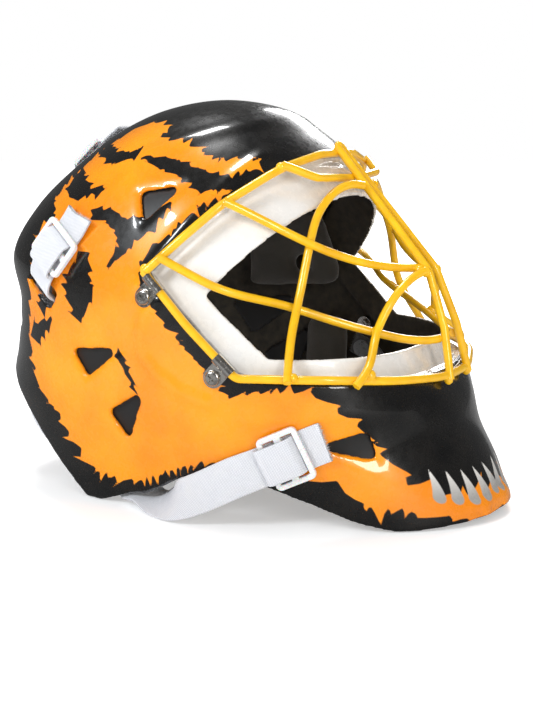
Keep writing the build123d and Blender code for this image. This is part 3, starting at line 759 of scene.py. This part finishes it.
def make_straps():
    across = UPPER_BUCKLE[2]
    up = np.array([0, 0, 1.0])
    upper = [
        (rear_point(-37, 127, -TAB_INSET)[0], up), (rear_point(-45, 127, -TAB_INSET)[0], up),
        (rear_point(-52, 127.2, -TAB_INSET - 0.3)[0], up),
        (rear_point(-78, 128, -7.0)[0], (0, 0.2, 1)), (side_point(105.6, 129.4, -6.6)[0], -across),
        (on_plane(UPPER_SLOT, 2.2, 1.4), -across), (on_plane(UPPER_BUCKLE, -17), -across),
        (on_plane(UPPER_BUCKLE, 0), -across), (on_plane(UPPER_BUCKLE, 17), -across),
        (on_plane(UPPER_BUCKLE, 25, 0.8), -across),
    ]
    over = LOWER_BUCKLE[2] if LOWER_BUCKLE[2][2] > 0 else -LOWER_BUCKLE[2]
    lower = [
        (rear_point(-37, 58, -TAB_INSET)[0], up), (rear_point(-45, 58, -TAB_INSET)[0], up),
        (rear_point(-51, 57.6, -TAB_INSET - 0.3)[0], up),
        ((-63, 144, 52), up), ((-77, 118, 40), (0.1, 0, 1)), ((-86, 85, 25), (0.1, 0, 1)),
        ((-85.5, 54, 14.4), (3, 0, 11.6)), ((-90.5, 33, 6.4), (12, 0, 2)),
        ((-99.5, 17, 8.0), (10.2, 0, 6.0)), ((-107.8, 2, 13.0), (4.2, 0, 11.2)),
        ((-108, -14, 20), (1, 0, 12)), ((-104.2, -36, 31.5), (0.6, 0, 12)),
        (on_plane(LOWER_BUCKLE, -17), over), (on_plane(LOWER_BUCKLE, 0), over),
        (on_plane(LOWER_BUCKLE, 17), over), (on_plane(LOWER_BUCKLE, 24, 0.4), over),
    ]
    top = [
        (rear_point(0, 126, -TAB_INSET)[0], X_ACROSS), (rear_point(0, 138, -TAB_INSET)[0], X_ACROSS),
        (rear_point(0, 152, -TAB_INSET)[0], X_ACROSS),
        (rear_point(0, 168, -7.0)[0], X_ACROSS), (on_plane(TOP_SLOT, -3.0, -6.4), X_ACROSS),
        (on_plane(TOP_SLOT, 2.4, 1.4), X_ACROSS), (on_plane(TOP_BUCKLE, -17), X_ACROSS),
        (on_plane(TOP_BUCKLE, 0), X_ACROSS), (on_plane(TOP_BUCKLE, 17), X_ACROSS),
        (on_plane(TOP_BUCKLE, 29, -1.0), X_ACROSS),
    ]
    runs = [
        ("upper_right", upper, False, 0.30), ("upper_left", upper, True, 0.30),
        ("lower_right", lower, False, 0.10), ("lower_left", lower, True, 0.10),
        ("top", top, False, 0.0),
    ]
    for key, stations, flip, lean in runs:
        strap = ribbon(f"elastic_{key}", stations, lean=lean, flip=flip)
        start = np.array(stations[3][0], float)
        end = np.array(stations[2][0], float)
        for point in (start, end):
            point[1] += SHIFT
            if flip:
                point[0] *= -1
        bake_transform(strap)
        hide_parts(f"strap_{key}", f"strap_tab_{key}")
        plane = {"upper": UPPER_BUCKLE, "lower": LOWER_BUCKLE, "top": TOP_BUCKLE}[key.split("_")[0]]
        turn = [(-10, 0.9), (-13.8, 1.3), (-15.6, 3.0), (-14.0, 5.2), (-9.0, 6.0), (0, 6.1), (4.8, 5.6),
                (7.2, 3.6), (8.6, 1.4), (10.5, 0.7)]
        cross = plane[2] * (1 if key.startswith("lower") else -1)
        if key == "top":
            cross = X_ACROSS
        loop = ribbon(f"turn_{key}", [(on_plane(plane, x, z), cross) for x, z in turn], width=23.0,
                      thick=1.6, frayed=(False, False), flip=flip)
        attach(loop, f"{key}_slider")
        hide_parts(f"strap_loop_{key}")


def make_harness():
    snap_x = -side_x(-26, 74) + 4
    lean = (0, 0.4, 1)
    arm = [
        ((-37.6, -101, 34), (0, 0.3, 1)), ((-46, -86, 42), lean), ((snap_x + 17, -52, 60), lean),
        ((snap_x + 6.8, -35, 70), lean), ((snap_x + 4.6, -18, 77), lean),
    ]
    for key, flip in (("right", False), ("left", True)):
        piece = ribbon(f"harness_{key}", arm, width=16, thick=1.6, material=HARNESS, flip=flip)
        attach(piece, "chin_cup")
        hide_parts(f"chin_arm_{key}")


# ---- pads --------------------------------------------------------------------------------------
def make_pad(node, body, voxel=2.6, rounds=14, swell=0.6):
    """A crowned foam pad with softened edges, in its CAD solid's place."""
    obj = remeshed(node, f"{node}_soft", voxel)
    mesh = obj.data
    edges = get_edges(mesh)
    p = get_points(mesh) / MM
    p = relax(p, edges, rounds, 0.6)
    set_points(mesh, p * MM)
    cloth_mod = obj.modifiers.new("swell", "CLOTH")
    cloth_mod.settings.use_pressure = True
    cloth_mod.settings.uniform_pressure_force = 3.0
    cloth_mod.settings.effector_weights.gravity = 0.0
    cloth_mod.settings.tension_stiffness = 25
    cloth_mod.settings.quality = 4
    cloth_mod.point_cache.frame_end = 12
    for step in range(1, 11):
        bpy.context.scene.frame_set(step)
    swollen = bpy.data.meshes.new_from_object(obj.evaluated_get(bpy.context.evaluated_depsgraph_get()))
    q = get_points(swollen) / MM
    obj.modifiers.clear()
    bpy.context.scene.frame_set(1)
    step = q - p
    size = np.maximum(np.linalg.norm(step, axis=1), 1e-6)
    p = p + step * np.minimum(1, swell / size)[:, None]
    noise = np.random.default_rng(5).normal(0, 1, (len(p), 1))
    noise = relax(noise, edges, 12, 0.9)
    p = p + get_normals(mesh) * noise * 1.2
    set_points(mesh, p * MM)
    mesh.materials.clear()
    mesh.materials.append(PAD)
    shade_smooth(mesh)
    extra = obj.modifiers.new("fine", "SUBSURF")
    extra.levels = extra.render_levels = 1
    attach(obj, body)
    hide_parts(node)


def weld_beads():
    """Small fillets of weld metal where the cage's wires meet, under the same yellow coat."""
    rows = ["cage_side_frame", "cage_upper_frame", "cage_brow_bar"]
    for part in ("centre_bar", "upper_cross", "lower_cross", "eye_arch", "chin_arc"):
        rows += [f"cage_{part}_right", f"cage_{part}_left"]
    spots = []
    clouds = {n: get_points(welded_copy(n)) / MM for n in rows}
    for i, first in enumerate(rows):
        for second in rows[i + 1:]:
            a, b = clouds[first], clouds[second]
            if (a.min(0) > b.max(0) + 2).any() or (b.min(0) > a.max(0) + 2).any():
                continue
            a = a[np.all((a > b.min(0) - 3) & (a < b.max(0) + 3), 1)]
            b = b[np.all((b > a.min(0) - 3) & (b < a.max(0) + 3), 1)] if len(a) else a
            if not len(b):
                continue
            tree = KDTree(len(b))
            for k, point in enumerate(b):
                tree.insert(point, k)
            tree.balance()
            found = [(point, tree.find(point)) for point in a]
            middle = np.array([0.5 * (point + np.array(hit[0])) for point, hit in found if hit[2] < 2.6])
            while len(middle):
                group = np.linalg.norm(middle - middle[0], axis=1) < 9
                spots.append(middle[group].mean(0))
                middle = middle[~group]
    bm = bmesh.new()
    for spot in spots:
        made = bmesh.ops.create_icosphere(bm, subdivisions=3, radius=3.15 * MM)
        pick = rng.uniform(0.85, 1.12, 3)
        for v in made["verts"]:
            v.co = Vector(v.co[i] * pick[i] for i in range(3)) + Vector(spot * MM)
    mesh = bpy.data.meshes.new("weld_beads")
    bm.to_mesh(mesh)
    bm.free()
    shade_smooth(mesh)
    beads = add_object("weld_beads", mesh, CAGE)
    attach(beads, "mask")


def finish_cad_nodes():
    """Materials for the CAD nodes that stay."""
    rules = (("cage_clips", NICKEL), ("cage_", CAGE), ("clip_", NICKEL), ("buckle_", BUCKLE),
             ("plate_rivets", STEEL), ("chin_snaps", STEEL), ("chin_cup", CUP), ("backplate", PLATE))
    for name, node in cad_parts.items():
        for start, material in rules:
            if name.startswith(start):
                node.data.materials.clear()
                node.data.materials.append(material)
                break


# ---- camera, light, floor ----------------------------------------------------------------------
def area_light(name, place, target, size, power, color=(1, 1, 1), size_y=None):
    data = bpy.data.lights.new(name, "AREA")
    data.shape = "RECTANGLE"
    data.size = size
    data.size_y = size_y or size
    data.energy = power
    data.color = color
    obj = bpy.data.objects.new(name, data)
    obj.location = place
    obj.rotation_mode = "QUATERNION"
    obj.rotation_quaternion = (Vector(target) - Vector(place)).to_track_quat("-Z", "Y")
    bpy.context.scene.collection.objects.link(obj)


def make_stage():
    bm = bmesh.new()
    bmesh.ops.create_circle(bm, cap_ends=True, segments=96, radius=6.0)
    mesh = bpy.data.meshes.new("floor")
    bm.to_mesh(mesh)
    bm.free()
    s = Shader("floor_pale")
    # Painted reflection: in glossy rays the floor is drawn dark grey and its glow is cut to a tenth.
    in_reflection = s.node("ShaderNodeLightPath").outputs["Is Glossy Ray"]
    pale = s.mix(s.span(s.noise(2, 3), 0.3, 0.7), rgb(0.80, 0.80, 0.80), rgb(0.84, 0.84, 0.84))
    s.color(s.mix(in_reflection, pale, rgb(0.10, 0.10, 0.10)))
    s.rough(s.span(s.noise(8, 3), 0.3, 0.7, 0.6, 0.7))
    # Painted light: the floor glows white, weakest near the mask and full far out, so it fades into the
    # backdrop.
    reach = s.node("ShaderNodeVectorMath", operation="LENGTH")
    s.links.new(s.place(), reach.inputs[0])
    glow = s.span(reach.outputs["Value"], 0.22, 0.75, 0.34, 1.0, smooth=True)
    s.bsdf.inputs["Emission Color"].default_value = rgb(1, 1, 1)
    s.put(s.bsdf.inputs["Emission Strength"], s.math("MULTIPLY", glow, s.span(in_reflection, 0, 1, 1.0, 0.10)))
    floor = add_object("floor", mesh, s.material)
    floor.location.z = -0.0005
    world = bpy.data.worlds.new("studio")
    bpy.context.scene.world = world
    world.use_nodes = True
    nodes, links = world.node_tree.nodes, world.node_tree.links
    path = nodes.new("ShaderNodeLightPath")
    soft = nodes.new("ShaderNodeMix")
    soft.inputs[2].default_value = 0.55
    soft.inputs[3].default_value = 0.09
    links.new(path.outputs["Is Glossy Ray"], soft.inputs[0])
    seen = nodes.new("ShaderNodeMix")
    seen.inputs[3].default_value = 1.0
    links.new(path.outputs["Is Camera Ray"], seen.inputs[0])
    links.new(soft.outputs[0], seen.inputs[2])
    nodes["Background"].inputs[0].default_value = (1, 1, 1, 1)
    links.new(seen.outputs[0], nodes["Background"].inputs[1])
    area_light("window", (-1.5, 0.75, 1.15), (0, 0, 0.12), 0.42, 20, (0.92, 0.96, 1.0), 0.6)
    area_light("front", (-1.2, -1.5, 0.75), (0, 0, 0.1), 0.35, 12, (1.0, 0.98, 0.95), 0.9)
    area_light("top", (0.3, 0.5, 1.9), (0, 0, 0.1), 0.5, 16)
    area_light("far_side", (1.5, 0.3, 0.9), (0, 0, 0.1), 0.5, 14)


# Sizes of the dark sheets put behind the vents as painted shade.
SHADE_SHEET_DEPTH = 4.9        # under the shell's outer surface, mm
SHADE_SHEET_MARGIN = 5.5       # past the vent's outline, mm
SHADE_SHEET_CELL = 1.5


def make_vent_shade_sheets():
    """Thin dark sheets behind the vents, just under the shell's inner surface: painted shade that closes
    each vent hole.
    """
    bm = bmesh.new()
    for vent in VENTS:
        vent = np.array(vent, float)
        low_y, low_z = vent.min(0) - 7
        high_y, high_z = vent.max(0) + 7
        ys = np.arange(low_y, high_y, SHADE_SHEET_CELL)
        zs = np.arange(low_z, high_z, SHADE_SHEET_CELL)
        for sign in (-1, 1):
            grid = {}
            for i, y in enumerate(ys):
                for j, z in enumerate(zs):
                    if patch_distance(np.array([[y, z]]), vent)[0] <= -SHADE_SHEET_MARGIN:
                        continue
                    spot = side_point(y, z, -SHADE_SHEET_DEPTH)[0]
                    grid[i, j] = bm.verts.new(Vector((-sign * spot[0], spot[1] + SHIFT, spot[2])) * MM)
            for i, j in grid:
                corners = [(i, j), (i + 1, j), (i + 1, j + 1), (i, j + 1)]
                if all(c in grid for c in corners):
                    bm.faces.new([grid[c] for c in corners])
    mesh = bpy.data.meshes.new("vent_shade_sheets")
    bm.to_mesh(mesh)
    bm.free()
    shade_smooth(mesh)
    # The near-black sheets stand in for the shade seen through the vents.
    shade_sheets = add_object("vent_shade_sheets", mesh, CUP)
    wall = shade_sheets.modifiers.new("wall", "SOLIDIFY")
    wall.thickness = 0.5 * MM
    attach(shade_sheets, "mask")


AZIMUTH, TILT = -61.7, 10.84        # degrees
DISTANCE = 0.816
AIM_HEIGHT = 0.082
SENSOR = 36.0
FOCAL_PER_HEIGHT = 1247 / 711


def make_camera():
    data = bpy.data.cameras.new("camera")
    data.sensor_width = SENSOR
    data.lens = FOCAL_PER_HEIGHT * SENSOR
    camera = bpy.data.objects.new("camera", data)
    azimuth, tilt = math.radians(AZIMUTH), math.radians(TILT)
    back = Vector((math.sin(azimuth) * math.cos(tilt), -math.cos(azimuth) * math.cos(tilt), math.sin(tilt)))
    camera.location = Vector((0, SHIFT * MM, AIM_HEIGHT)) + back * DISTANCE
    camera.rotation_mode = "QUATERNION"
    camera.rotation_quaternion = (-back).to_track_quat("-Z", "Y")
    data.clip_start, data.clip_end = 0.01, 50
    bpy.context.scene.collection.objects.link(camera)
    bpy.context.scene.camera = camera


bpy.context.scene.view_settings.view_transform = "Standard"
make_camera()
make_stage()
make_shell()
make_straps()
make_harness()
for pad_node, pad_body, pad_fill in (
    ("temple_pad_right", "mask", 0.7), ("temple_pad_left", "mask", 0.7), ("cheek_pad_right", "mask", 0.7),
    ("cheek_pad_left", "mask", 0.7), ("forehead_pad", "mask", 0.7), ("crown_pad", "mask", 0.7),
    ("backplate_foam", "backplate", 0.8), ("chin_cup_liner", "chin_cup", 0.6),
):
    make_pad(pad_node, pad_body)
make_vent_shade_sheets()
weld_beads()
finish_cad_nodes()
